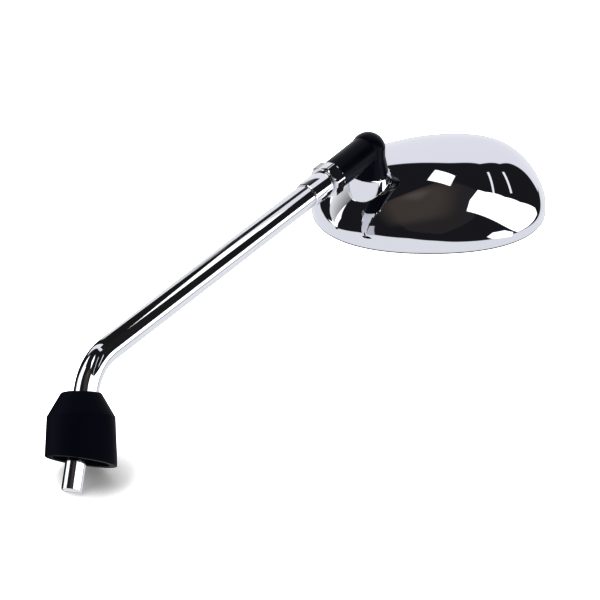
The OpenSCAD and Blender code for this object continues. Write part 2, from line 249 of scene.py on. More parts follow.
def rolled(bm: bmesh.types.BMesh, around: int, along: int,
           place: Callable[[np.ndarray, np.ndarray], np.ndarray]) -> None:
    """Adds a grid that is rolled into a ring and laid on a surface.

    Args:
        bm: the mesh to add to.
        around: faces round the ring.
        along: faces from its first edge to its last.
        place: gives the points for shares round and along, each from 0 to 1.
    """
    made = bmesh.ops.create_grid(bm, x_segments=around, y_segments=along, size=1)["verts"]
    shares = np.array([vert.co for vert in made])
    points = place((shares[:, 0] + 1) / 2, (shares[:, 1] + 1) / 2)
    for vert, point in zip(made, points):
        vert.co = point
    bmesh.ops.remove_doubles(bm, verts=made, dist=MERGE)


def traced(points: Sequence[Point], along: np.ndarray) -> tuple[np.ndarray, np.ndarray]:
    """Reads a line of points at shares of its way.

    Args:
        points: the line's points, evenly spread over its way.
        along: shares from 0 at the first point to 1 at the last.

    Returns:
        The first and the second coordinate at each share.
    """
    stops, spot = range(len(points)), along * (len(points) - 1)
    first, second = np.array(points).T
    return np.interp(spot, stops, first), np.interp(spot, stops, second)


def shaded(mesh: bpy.types.Mesh, sharp: float) -> None:
    """Shades a mesh smooth, apart from edges above an angle in degrees."""
    mesh.shade_smooth()
    mesh.set_sharp_from_angle(angle=radians(sharp))


def linked(name: str, data: bpy.types.ID) -> bpy.types.Object:
    """Puts a new object into the scene.

    Args:
        name: the object's name.
        data: its mesh, lamp or camera.

    Returns:
        The object.
    """
    made = bpy.data.objects.new(name, data)
    bpy.context.scene.collection.objects.link(made)
    return made


def piece(name: str, bm: bmesh.types.BMesh, axes: Axes, sharp: float = SHARP,
          outwards: bool = True) -> bpy.types.Object:
    """Makes an object of a mesh built in millimetres.

    Args:
        name: the object's name.
        bm: its mesh, which is freed.
        axes: the axes it was built on.
        sharp: angle in degrees above which an edge isn't shaded smooth.
        outwards: True where its faces are to be turned outwards.

    Returns:
        The object, with its place in its mesh.
    """
    if outwards:
        bmesh.ops.recalc_face_normals(bm, faces=bm.faces)
    bmesh.ops.transform(bm, matrix=axes.matrix(), verts=bm.verts)
    mesh = bpy.data.meshes.new(name)
    bm.to_mesh(mesh)
    bm.free()
    shaded(mesh, sharp)
    return linked(name, mesh)


def baked(thing: bpy.types.Object) -> bpy.types.Object:
    """Applies an object's modifiers to its mesh.

    Args:
        thing: the object.

    Returns:
        The same object with a finished mesh.
    """
    graph = bpy.context.evaluated_depsgraph_get()
    mesh = bpy.data.meshes.new_from_object(thing.evaluated_get(graph))
    thing.modifiers.clear()
    thing.data = mesh
    shaded(mesh, SHARP)
    return thing


def thickened(thing: bpy.types.Object, wall: float) -> bpy.types.Object:
    """Gives an open surface a wall inwards.

    Args:
        thing: the surface.
        wall: the wall's thickness, in millimetres.

    Returns:
        The same object with a finished mesh.
    """
    modifier = thing.modifiers.new("wall", "SOLIDIFY")
    modifier.thickness = wall * MM
    modifier.offset = -1
    return baked(thing)


def cut(thing: bpy.types.Object, cutter: bpy.types.Object) -> None:
    """Cuts one object's solid out of another.

    Args:
        thing: the object that is cut.
        cutter: the solid that is cut out, which is removed.
    """
    modifier = thing.modifiers.new("cut", "BOOLEAN")
    modifier.operation = "DIFFERENCE"
    modifier.solver = "MANIFOLD"
    modifier.object = cutter
    baked(thing)
    bpy.data.objects.remove(cutter)


# Shader tools

class Tree:
    """A node tree with short calls to place and join its nodes."""

    def __init__(self, tree: bpy.types.NodeTree) -> None:
        """Takes the tree to build in."""
        self.tree = tree

    def node(self, kind: str, inputs: dict | None = None, **settings: object) -> bpy.types.Node:
        """Places a node.

        Args:
            kind: the node's type.
            inputs: a value or a socket for each input, by name or number.
            settings: the node's own settings.

        Returns:
            The node.
        """
        made = self.tree.nodes.new(kind)
        for key, value in settings.items():
            setattr(made, key, value)
        for key, value in (inputs or {}).items():
            self.feed(made.inputs[key], value)
        return made

    def feed(self, socket: Socket, value: Value) -> None:
        """Joins a socket to an input, or sets the input's value.

        Args:
            socket: the input.
            value: what it takes.
        """
        if isinstance(value, bpy.types.NodeSocket):
            self.tree.links.new(value, socket)
        else:
            socket.default_value = value

    def maths(self, operation: str, *values: Value) -> Socket:
        """The output of a Math node."""
        return self.node("ShaderNodeMath", dict(enumerate(values)), operation=operation).outputs[0]

    def dot(self, first: Value, second: Value) -> Socket:
        """The dot product of two vectors."""
        made = self.node("ShaderNodeVectorMath", {0: first, 1: second}, operation="DOT_PRODUCT")
        return made.outputs["Value"]

    def spread(self, value: Value, low: float, high: float, to_low: float, to_high: float,
               smooth: bool = False) -> Socket:
        """Maps a range on another and holds the result to its ends.

        Args:
            value: what is mapped.
            low: start of the range.
            high: end of the range.
            to_low: the result at the start.
            to_high: the result at the end.
            smooth: True for a soft start and end.

        Returns:
            The result.
        """
        kind = "SMOOTHSTEP" if smooth else "LINEAR"
        made = self.node("ShaderNodeMapRange", {"Value": value, "From Min": low, "From Max": high,
                                               "To Min": to_low, "To Max": to_high},
                         interpolation_type=kind)
        return made.outputs["Result"]

    def blend(self, share: Value, first: Value, second: Value) -> Socket:
        """The colour between two colours."""
        made = self.node("ShaderNodeMix", {0: share, 6: first, 7: second}, data_type="RGBA")
        return made.outputs[2]


def emptied(owner: bpy.types.Material | bpy.types.World) -> Tree:
    """Starts an empty node tree.

    Args:
        owner: the material or the world that it is for.

    Returns:
        The tree.
    """
    owner.use_nodes = True
    owner.node_tree.nodes.clear()
    return Tree(owner.node_tree)


def group(name: str, inputs: dict[str, tuple[str, float | tuple]], outputs: dict[str, str]
          ) -> tuple[bpy.types.NodeTree, Tree, bpy.types.Node, bpy.types.Node]:
    """Starts a shader node group.

    Args:
        name: the group's name.
        inputs: kind and default value of each input.
        outputs: kind of each output.

    Returns:
        The group, its tree, and its input and output nodes.
    """
    made = bpy.data.node_groups.new(name, "ShaderNodeTree")
    for label, (kind, value) in inputs.items():
        socket = made.interface.new_socket(label, in_out="INPUT", socket_type=kind)
        socket.default_value = value
    for label, kind in outputs.items():
        made.interface.new_socket(label, in_out="OUTPUT", socket_type=kind)
    tree = Tree(made)
    return made, tree, tree.node("NodeGroupInput"), tree.node("NodeGroupOutput")


FLOAT = "NodeSocketFloat"
VECTOR = "NodeSocketVector"


def polish_group() -> bpy.types.NodeTree:
    """Builds the group for polished metal: faint wiping marks and a slow haze.

    Returns:
        A group with a roughness.
    """
    made, tree, into, out = group(
        "polish_marks",
        {"Vector": (VECTOR, (0, 0, 0)), "Roughness": (FLOAT, 0.03), "Haze": (FLOAT, 0.02),
         "Scale": (FLOAT, 60.0)},
        {"Roughness": FLOAT})
    slow = tree.node("ShaderNodeTexNoise", {"Vector": into.outputs["Vector"],
                                            "Scale": into.outputs["Scale"], "Detail": 3.0})
    fine_scale = tree.maths("MULTIPLY", into.outputs["Scale"], 9.0)
    fine = tree.node("ShaderNodeTexNoise", {"Vector": into.outputs["Vector"],
                                            "Scale": fine_scale, "Detail": 2.0})
    cloud = tree.spread(slow.outputs[0], 0.45, 0.75, 0, 1, smooth=True)
    marks = tree.spread(fine.outputs[0], 0.58, 0.7, 0, 1)
    worn = tree.maths("MULTIPLY", cloud, tree.maths("ADD", tree.maths("MULTIPLY", marks, 0.5), 0.5))
    haze = tree.maths("MULTIPLY", worn, into.outputs["Haze"])
    tree.feed(out.inputs["Roughness"], tree.maths("ADD", into.outputs["Roughness"], haze))
    return made


def grain_group() -> bpy.types.NodeTree:
    """Builds the group for moulded and rubber faces: a fine grain and a light dusting.

    Returns:
        A group with a height, a dust mask and a roughness.
    """
    made, tree, into, out = group(
        "moulded_grain",
        {"Vector": (VECTOR, (0, 0, 0)), "Scale": (FLOAT, 1500.0), "Roughness": (FLOAT, 0.4),
         "Spread": (FLOAT, 0.1)},
        {"Height": FLOAT, "Dust": FLOAT, "Roughness": FLOAT})
    grain = tree.node("ShaderNodeTexNoise", {"Vector": into.outputs["Vector"],
                                             "Scale": into.outputs["Scale"], "Detail": 2.0})
    cloud = tree.node("ShaderNodeTexNoise", {"Vector": into.outputs["Vector"], "Scale": 70.0,
                                             "Detail": 4.0})
    patch = tree.spread(cloud.outputs[0], 0.4, 0.7, 0, 1, smooth=True)
    speck = tree.spread(grain.outputs[0], 0.5, 0.72, 0, 1)
    tree.feed(out.inputs["Height"], grain.outputs[0])
    tree.feed(out.inputs["Dust"], tree.maths("MULTIPLY", patch, speck))
    uneven = tree.maths("MULTIPLY", patch, into.outputs["Spread"])
    tree.feed(out.inputs["Roughness"], tree.maths("ADD", into.outputs["Roughness"], uneven))
    return made


class Effects:
    """The shared node groups, each built once."""

    def __init__(self) -> None:
        """Builds the groups."""
        self.polish = polish_group()
        self.grain = grain_group()


@dataclass(frozen=True)
class Finish:
    """A surface finish with its own values on the shared effects.

    Args:
        slot: the record's material slot.
        colour: base colour.
        metallic: 1 for bare metal.
        roughness: roughness where it is cleanest.
    """

    slot: Slot
    colour: Colour
    metallic: float
    roughness: float

    def start(self) -> tuple[bpy.types.Material, Tree, bpy.types.Node, Socket]:
        """Starts the material.

        Returns:
            The material, its tree, its shader and the object's own coordinates.
        """
        made = bpy.data.materials.new(self.slot.value)
        tree = emptied(made)
        shader = tree.node("ShaderNodeBsdfPrincipled", {
            "Base Color": self.colour, "Metallic": self.metallic, "Roughness": self.roughness})
        tree.node("ShaderNodeOutputMaterial", {"Surface": shader.outputs[0]})
        return made, tree, shader, tree.node("ShaderNodeTexCoord").outputs["Object"]

    def material(self, effects: Effects) -> bpy.types.Material:
        """Builds the plain material.

        Args:
            effects: the shared node groups, not used.

        Returns:
            The material.
        """
        return self.start()[0]


@dataclass(frozen=True)
class Polished(Finish):
    """Bright metal with faint wiping marks.

    Args:
        haze: how much rougher the marks are.
        scale: fineness of the marks.
    """

    haze: float = 0.02
    scale: float = 60.0

    def material(self, effects: Effects) -> bpy.types.Material:
        """Builds the material.

        Args:
            effects: the shared node groups.

        Returns:
            The material.
        """
        made, tree, shader, spot = self.start()
        marks = tree.node("ShaderNodeGroup", node_tree=effects.polish)
        for label, value in {"Vector": spot, "Roughness": self.roughness, "Haze": self.haze,
                             "Scale": self.scale}.items():
            tree.feed(marks.inputs[label], value)
        tree.feed(shader.inputs["Roughness"], marks.outputs["Roughness"])
        return made


@dataclass(frozen=True)
class Moulded(Finish):
    """Moulded plastic or rubber with a fine grain.

    Args:
        dusty: the colour that dust turns it to.
        dust: how much of that colour shows.
        specular: strength of its gloss.
        gloss_tint: colour of its gloss; a blue tint here is painted reflection colour, standing in for
            bluish light in the room.
        scale: fineness of the grain.
        depth: depth of the grain, in metres.
        push: how strongly the grain turns the light.
        spread: how uneven the roughness is.
    """

    dusty: Colour = (0.1, 0.1, 0.105, 1)
    dust: float = 0.2
    specular: float = 0.5
    gloss_tint: Colour = (1, 1, 1, 1)
    scale: float = 1500.0
    depth: float = 0.00003
    push: float = 0.6
    spread: float = 0.1

    def material(self, effects: Effects) -> bpy.types.Material:
        """Builds the material.

        Args:
            effects: the shared node groups.

        Returns:
            The material.
        """
        made, tree, shader, spot = self.start()
        grain = tree.node("ShaderNodeGroup", node_tree=effects.grain)
        for label, value in {"Vector": spot, "Scale": self.scale, "Roughness": self.roughness,
                             "Spread": self.spread}.items():
            tree.feed(grain.inputs[label], value)
        share = tree.maths("MULTIPLY", grain.outputs["Dust"], self.dust)
        tree.feed(shader.inputs["Base Color"], tree.blend(share, self.colour, self.dusty))
        tree.feed(shader.inputs["Roughness"], grain.outputs["Roughness"])
        bump = tree.node("ShaderNodeBump", {"Height": grain.outputs["Height"],
                                            "Strength": self.push, "Distance": self.depth})
        tree.feed(shader.inputs["Normal"], bump.outputs[0])
        shader.inputs["Specular IOR Level"].default_value = self.specular
        # gloss tint: painted colour of the reflected light where it isn't white
        shader.inputs["Specular Tint"].default_value = self.gloss_tint
        return made


@dataclass(frozen=True)
class Silvered(Finish):
    """Silvered convex glass under a clear front."""

    def material(self, effects: Effects) -> bpy.types.Material:
        """Builds the material.

        Args:
            effects: the shared node groups, not used.

        Returns:
            The material.
        """
        made, _, shader, _ = self.start()
        shader.inputs["Coat Weight"].default_value = 1.0
        shader.inputs["Coat Roughness"].default_value = 0.01
        shader.inputs["Coat IOR"].default_value = 1.52
        return made


FINISHES: tuple[Finish, ...] = (
    Polished(Slot.PIN, (0.7, 0.71, 0.74, 1), 1, 0.09, haze=0.08, scale=220),
    Polished(Slot.STEM, (0.72, 0.73, 0.76, 1), 1, 0.02, haze=0.02, scale=45),
    Polished(Slot.SHELL, (0.7, 0.71, 0.75, 1), 1, 0.015, haze=0.015, scale=30),
    Polished(Slot.NUT, (0.7, 0.71, 0.73, 1), 1, 0.05, haze=0.05, scale=150),
    Polished(Slot.ZINC, (0.72, 0.73, 0.74, 1), 1, 0.3, haze=0.2, scale=200),
    Polished(Slot.BRASS, (0.8, 0.6, 0.28, 1), 1, 0.25, haze=0.15, scale=200),
    Polished(Slot.SPRING, (0.55, 0.56, 0.58, 1), 1, 0.28, haze=0.2, scale=300),
    # The elbow's and the boot's blue gloss tint paints the bluish colour of the room light that they
    # reflect.
    Moulded(Slot.ELBOW, (0.001, 0.0012, 0.003, 1), 0, 0.3, specular=0.045,
            gloss_tint=(0.55, 0.65, 1, 1), dust=0.02, scale=2200, depth=0.00001, spread=0.08),
    Moulded(Slot.BOOT, (0.0015, 0.0018, 0.004, 1), 0, 0.5, specular=0.02,
            gloss_tint=(0.6, 0.7, 1, 1), dust=0.02, scale=1600),
    Moulded(Slot.SEAL, (0.05, 0.052, 0.06, 1), 0, 0.5, dust=0.2, scale=1800, depth=0.00002),
    Moulded(Slot.LINER, (0.03, 0.031, 0.034, 1), 0, 0.4, dust=0.1, scale=2000, depth=0.00001),
    Moulded(Slot.PAD, (0.05, 0.052, 0.056, 1), 0, 0.9, dust=0.6, scale=900, depth=0.0001),
    Moulded(Slot.CARRIER, (0.025, 0.026, 0.028, 1), 0, 0.45, dust=0.2, scale=1500, depth=0.00002),
    Silvered(Slot.GLASS, (0.86, 0.89, 0.93, 1), 1, 0.008),
)


class Palette:
    """The finished materials by slot."""

    def __init__(self) -> None:
        """Builds each finish once."""
        effects = Effects()
        self.made = {finish.slot: finish.material(effects) for finish in FINISHES}

    def dress(self, thing: bpy.types.Object, slot: Slot, body: str, *nodes: str) -> None:
        """Gives a new piece its finish and its place in the part.

        Args:
            thing: the piece.
            slot: its finish.
            body: the CAD body that it rides on.
            nodes: the CAD nodes that it stands for.
        """
        thing.data.materials.clear()
        thing.data.materials.append(self.made[slot])
        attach(thing, body)
        if nodes:
            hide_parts(*nodes)
        LOG.info("%s rides on %s, %d faces", thing.name, body, len(thing.data.polygons))

    def finish_node(self, node: bpy.types.Object, slot: Slot) -> None:
        """Gives a CAD node its finish.

        Args:
            node: the node's object.
            slot: its finish.
        """
        if node.data.materials:
            for index in range(len(node.data.materials)):
                node.data.materials[index] = self.made[slot]
        else:
            node.data.materials.append(self.made[slot])
        LOG.info("%s keeps its CAD shape in %s", node.name, slot.value)


# The part, by sub-assembly

@dataclass
class Stem:
    """The clamped pin, the bent tube and the sleeve at the tube's end."""

    layout: Layout
    pin_r: float = 5.0
    pin_tip: float = -15.0
    pin_chamfer: float = 0.8
    pin_top: float = 13.98
    plug_r: float = 4.48
    plug_top: float = 28.0
    tube_r: float = 6.0
    tube_wall: float = 1.5
    tube_foot: float = 14.0
    corner_h: float = 48.0
    bend_r: float = 28.0
    tube_end: float = 43.6
    sleeve_r: float = 6.8
    sleeve_foot: float = 53.6
    sleeve_len: float = 15.0
    sleeve_socket: float = 10.0
    gap: float = 0.02
    stud_r: float = 4.0
    bend_steps: int = 56
    sides: int = 128

    def bend_angle(self) -> float:
        """The angle between the pin and the arm."""
        return self.layout.arm.z.angle(self.layout.pin.z)

    def pin(self) -> bpy.types.Object:
        """Spins the pin with its chamfered tip and its plug in the tube.

        Returns:
            The pin.
        """
        bm = bmesh.new()
        spun(bm, rounded([
            (0, self.pin_tip, 0), (self.pin_r - self.pin_chamfer, self.pin_tip, 0.15),
            (self.pin_r, self.pin_tip + self.pin_chamfer, 0.25), (self.pin_r, self.pin_top, 0),
            (self.plug_r, self.pin_top, 0), (self.plug_r, self.plug_top, 0.3),
            (0, self.plug_top, 0)]), closed=False)
        return piece("mounting_pin_turned", bm, self.layout.pin)

    def tube(self) -> bpy.types.Object:
        """Extrudes a circle up the pin, spins it round the bend and extrudes it along the arm.

        Returns:
            The tube.
        """
        bm = bmesh.new()
        angle = self.bend_angle()
        tangent = self.bend_r * tan(angle / 2)
        bend_foot = self.corner_h - tangent
        arm_len = (self.layout.arm.origin - Vector((0, 0, self.corner_h * MM))).length / MM
        edges = ring(bm, self.tube_r, Matrix.Translation((0, 0, self.tube_foot)), self.sides)

        def onward(edges: list, step: Vector) -> list:
            """Extrudes the open end.

            Args:
                edges: the open end's edges.
                step: how far and which way it goes.

            Returns:
                The new end's edges.
            """
            made = bmesh.ops.extrude_edge_only(bm, edges=edges)["geom"]
            verts = [item for item in made if isinstance(item, bmesh.types.BMVert)]
            bmesh.ops.translate(bm, vec=step, verts=verts)
            return [item for item in made if isinstance(item, bmesh.types.BMEdge)
                    and all(vert in verts for vert in item.verts)]

        edges = onward(edges, Vector((0, 0, bend_foot - self.tube_foot)))
        verts = list({vert for edge in edges for vert in edge.verts})
        turned = bmesh.ops.spin(bm, geom=verts + edges, cent=(self.bend_r, 0, bend_foot),
                                axis=(0, 1, 0), dvec=(0, 0, 0), angle=angle,
                                steps=self.bend_steps, use_merge=False, use_duplicate=False)
        last = [item for item in turned["geom_last"] if isinstance(item, bmesh.types.BMEdge)]
        way = Vector((sin(angle), 0, cos(angle)))
        onward(last, way * (arm_len - tangent - self.tube_end))
        return thickened(piece("stem_tube_bent", bm, self.layout.pin), self.tube_wall)

    def sleeve(self) -> bpy.types.Object:
        """Spins the sleeve with its small step at the foot.

        Returns:
            The sleeve.
        """
        foot, top = -self.sleeve_foot, -self.sleeve_foot + self.sleeve_len
        bore, stop = self.tube_r + self.gap, foot + self.sleeve_socket + self.gap
        bm = bmesh.new()
        spun(bm, rounded([
            (bore, foot + 0.3, 0), (bore, foot, 0.05), (self.sleeve_r - 0.3, foot, 0.12),
            (self.sleeve_r, foot + 0.5, 0.3), (self.sleeve_r, top - 0.5, 0.25),
            (self.sleeve_r - 0.5, top, 0.2), (self.stud_r + self.gap, top, 0),
            (self.stud_r + self.gap, stop, 0), (bore, stop, 0), (bore, foot + 0.4, 0)]),
            closed=True, steps=self.sides)
        return piece("stem_sleeve_turned", bm, self.layout.arm)

    def build(self, palette: Palette) -> None:
        """Builds and dresses the stem's metal pieces.

        Args:
            palette: the finished materials.
        """
        palette.dress(self.pin(), Slot.PIN, "stem", "mounting_pin")
        palette.dress(self.tube(), Slot.STEM, "stem", "stem_tube")
        palette.dress(self.sleeve(), Slot.STEM, "stem", "stem_sleeve")


@dataclass
class Boot:
    """The leaning rubber boot at the stem's foot."""

    layout: Layout
    height: float = 33.0
    top_r: float = 10.0
    shoulder_r: float = 16.5
    base_r: float = 17.4
    cone_h: float = 11.7
    wall: float = 2.6
    floor_h: float = 18.0
    hole_r: float = 6.02
    lean: float = 8.0
    lean_way: float = 131.5
    shoulder_round: float = 0.8
    top_round: float = 0.9
    base_round: float = 0.35
    grip_lip: float = 2.2
    ledge_r: float = 7.5
    hollow_round: float = 3.0
    past: float = 5.0

    def own_axes(self) -> Matrix:
        """The boot's leaning axes at the middle of its height.

        Returns:
            The transform from those axes to the pin's, in millimetres.
        """
        lean, way = radians(self.lean), radians(self.lean_way)
        return (Matrix.Translation((0, 0, self.height / 2))
                @ Matrix.Rotation(lean * cos(way), 4, "Y")
                @ Matrix.Rotation(-lean * sin(way), 4, "X"))

    def mesh(self) -> bpy.types.Object:
        """Bridges rings up the outside, down the grip and down the hollow, and trims the foot.

        Returns:
            The boot.
        """
        own = self.own_axes()
        top = self.height / 2
        shoulder, base = top - self.cone_h, -top - self.past
        outside = rounded([
            (self.base_r, base, 0), (self.base_r, -top, 0),
            (self.shoulder_r, shoulder, self.shoulder_round),
            (self.top_r, top - 0.6, 0.3), (self.top_r - 0.6, top, self.top_round),
            (self.hole_r + self.grip_lip, top, 0)])
        hollow_r, hollow_top = self.shoulder_r - self.wall, self.floor_h - top
        inside = rounded([(self.ledge_r, hollow_top, 0),
                          (hollow_r, hollow_top, self.hollow_round), (hollow_r, base, 0)])
        bm = bmesh.new()
        rings = [ring(bm, r, own @ Matrix.Translation((0, 0, z))) for r, z in outside]
        tilt = own.to_3x3() @ Vector((0, 0, 1))
        face = own @ Vector((0, 0, top))
        grip = bmesh.ops.create_circle(bm, cap_ends=False, segments=96, radius=self.hole_r,
                                       matrix=Matrix.Identity(4))["verts"]
        for vert in grip:
            aside = vert.co - face
            vert.co.z = face.z - (tilt.x * aside.x + tilt.y * aside.y) / tilt.z
        rings.append(list({edge for vert in grip for edge in vert.link_edges}))
        rings.append(ring(bm, self.hole_r, Matrix.Translation((0, 0, self.floor_h))))
        rings += [ring(bm, r, own @ Matrix.Translation((0, 0, z))) for r, z in inside]
        bridged(bm, rings)
        cutting = bmesh.ops.bisect_plane(bm, geom=bm.verts[:] + bm.edges[:] + bm.faces[:],
                                         plane_co=(0, 0, 0), plane_no=(0, 0, 1), clear_inner=True)
        foot = [item for item in cutting["geom_cut"] if isinstance(item, bmesh.types.BMEdge)]
        bmesh.ops.bridge_loops(bm, edges=foot)
        bmesh.ops.bevel(bm, geom=foot, offset=self.base_round, segments=3, profile=0.5,
                        affect="EDGES", material=-1)
        return piece("boot_moulded", bm, self.layout.pin, sharp=50)

    def build(self, palette: Palette) -> None:
        """Builds and dresses the boot."""
        palette.dress(self.mesh(), Slot.BOOT, "stem", "stem_boot")


@dataclass
class LockNut:
    """The six-sided nut that locks the elbow on the stem."""

    layout: Layout
    across_flats: float = 16.0
    thickness: float = 7.4
    foot: float = 38.5
    hole_r: float = 4.02
    chamfer_share: float = 0.7
    edge_round: float = 0.25
    edge_from: float = 26.0
    face_share: float = 0.86
    sides: int = 240

    def mesh(self) -> bpy.types.Object:
        """Lays a rolled grid on the hexagon inside its chamfer cones.

        Returns:
            The nut.
        """
        flat_r = self.across_flats / 2
        corner_r = flat_r / cos(pi / 6)
        chamfer = (corner_r - flat_r) * self.chamfer_share
        t, face_r = self.thickness, flat_r * self.face_share
        profile = rounded([
            (self.hole_r, 0, 0), (face_r, 0, 0.1), (flat_r, 0.05, 0.2),
            (corner_r, chamfer, 0.3), (corner_r, t - chamfer, 0.3), (flat_r, t - 0.05, 0.2),
            (face_r, t, 0.1), (self.hole_r, t, 0), (self.hole_r, t / 2, 0),
            (self.hole_r, 0, 0)], steps=6)

        def place(around: np.ndarray, along: np.ndarray) -> np.ndarray:
            """Lays the nut.

            Args:
                around: shares round it.
                along: shares along its section.

            Returns:
                The points.
            """
            r, z = traced(profile, along)
            angle = 2 * pi * around
            off = (angle + pi / 6) % (pi / 3) - pi / 6
            past = np.maximum(0, np.abs(np.degrees(off)) - self.edge_from) / (30 - self.edge_from)
            r = np.minimum(r, flat_r / np.cos(off) - self.edge_round * past ** 2)
            return np.stack([r * np.cos(angle), r * np.sin(angle), z - self.foot], 1)

        bm = bmesh.new()
        rolled(bm, self.sides, len(profile) - 1, place)
        return piece("lock_nut_milled", bm, self.layout.arm, sharp=24)

    def build(self, palette: Palette) -> None:
        """Builds and dresses the nut."""
        palette.dress(self.mesh(), Slot.NUT, "stem", "lock_nut")


@dataclass
class Elbow:
    """The moulded elbow: a leg on the arm, a domed corner and a flared foot over the ball."""

    layout: Layout
    leg_r: float = 7.9
    leg_end_r: float = 7.6
    leg_len: float = 31.0
    neck_r: float = 8.7
    foot_r: float = 10.3
    flare_h: float = 8.0
    foot_rim: float = 0.8
    rise: float = 23.5
    cup_r: float = 14.7
    pivot_bore_r: float = 4.5
    pivot_bore_top: float = 21.9
    stem_bore_r: float = 5.75
    stem_bore_end: float = 16.0
    well_below: float = 30.0
    sharp: float = 45.0
    voxel: float = 0.25
    smoothing: int = 3

    def solid(self) -> bpy.types.Object:
        """Joins the leg, the dome and the neck into one soft-cornered solid.

        Returns:
            The elbow before it is bored.
        """
        foot = -self.rise + sqrt(self.cup_r ** 2 - self.foot_r ** 2)
        rim = foot + self.foot_rim
        bm = bmesh.new()
        bmesh.ops.create_uvsphere(bm, u_segments=96, v_segments=48, radius=self.neck_r)
        spun(bm, rounded([(0, -2, 0), (self.leg_r, -2, 0), (self.leg_r, 0, 0),
                          (self.leg_end_r, self.leg_len, 0.7), (0, self.leg_len, 0)]), closed=False,
             place=Matrix.Rotation(-pi / 2, 4, "Y"))
        spun(bm, rounded([(0, 2, 0), (self.neck_r, 2, 0), (self.neck_r, rim + self.flare_h, 6.0),
                          (self.foot_r, rim, 0.8), (self.foot_r, foot - 1, 0), (0, foot - 1, 0)]),
             closed=False)
        made = piece("elbow_moulded", bm, self.layout.elbow)
        skin = made.modifiers.new("skin", "REMESH")
        skin.mode = "VOXEL"
        skin.voxel_size = self.voxel * MM
        soft = made.modifiers.new("soft", "SMOOTH")
        soft.factor = 0.5
        soft.iterations = self.smoothing
        return baked(made)

    def mesh(self) -> bpy.types.Object:
        """Hollows the foot to the ball's radius and bores both legs.

        Returns:
            The elbow.
        """
        made = self.solid()
        foot = -self.rise + sqrt(self.cup_r ** 2 - self.foot_r ** 2)
        pivot_end = self.pivot_bore_top - self.rise
        past = self.leg_len + 1
        cup, trim, pivot_bore, stem_bore = (bmesh.new() for _ in range(4))
        bmesh.ops.create_uvsphere(cup, u_segments=160, v_segments=80, radius=self.cup_r,
                                  matrix=Matrix.Translation((0, 0, -self.rise)))
        bmesh.ops.create_cube(trim, size=2 * self.well_below,
                              matrix=Matrix.Translation((0, 0, foot - self.well_below)))
        spun(pivot_bore, [(0, -self.well_below), (self.pivot_bore_r, -self.well_below),
                          (self.pivot_bore_r, pivot_end), (0, pivot_end)], closed=False)
        spun(stem_bore, [(0, self.stem_bore_end), (self.stem_bore_r, self.stem_bore_end),
                         (self.stem_bore_r, past), (0, past)], closed=False,
             place=Matrix.Rotation(-pi / 2, 4, "Y"))
        for name, bm in (("cup", cup), ("trim", trim), ("pivot_bore", pivot_bore),
                         ("stem_bore", stem_bore)):
            cut(made, piece(name, bm, self.layout.elbow))
        shaded(made.data, self.sharp)
        return made

    def build(self, palette: Palette) -> None:
        """Builds and dresses the elbow."""
        palette.dress(self.mesh(), Slot.ELBOW, "knuckle", "elbow_body")


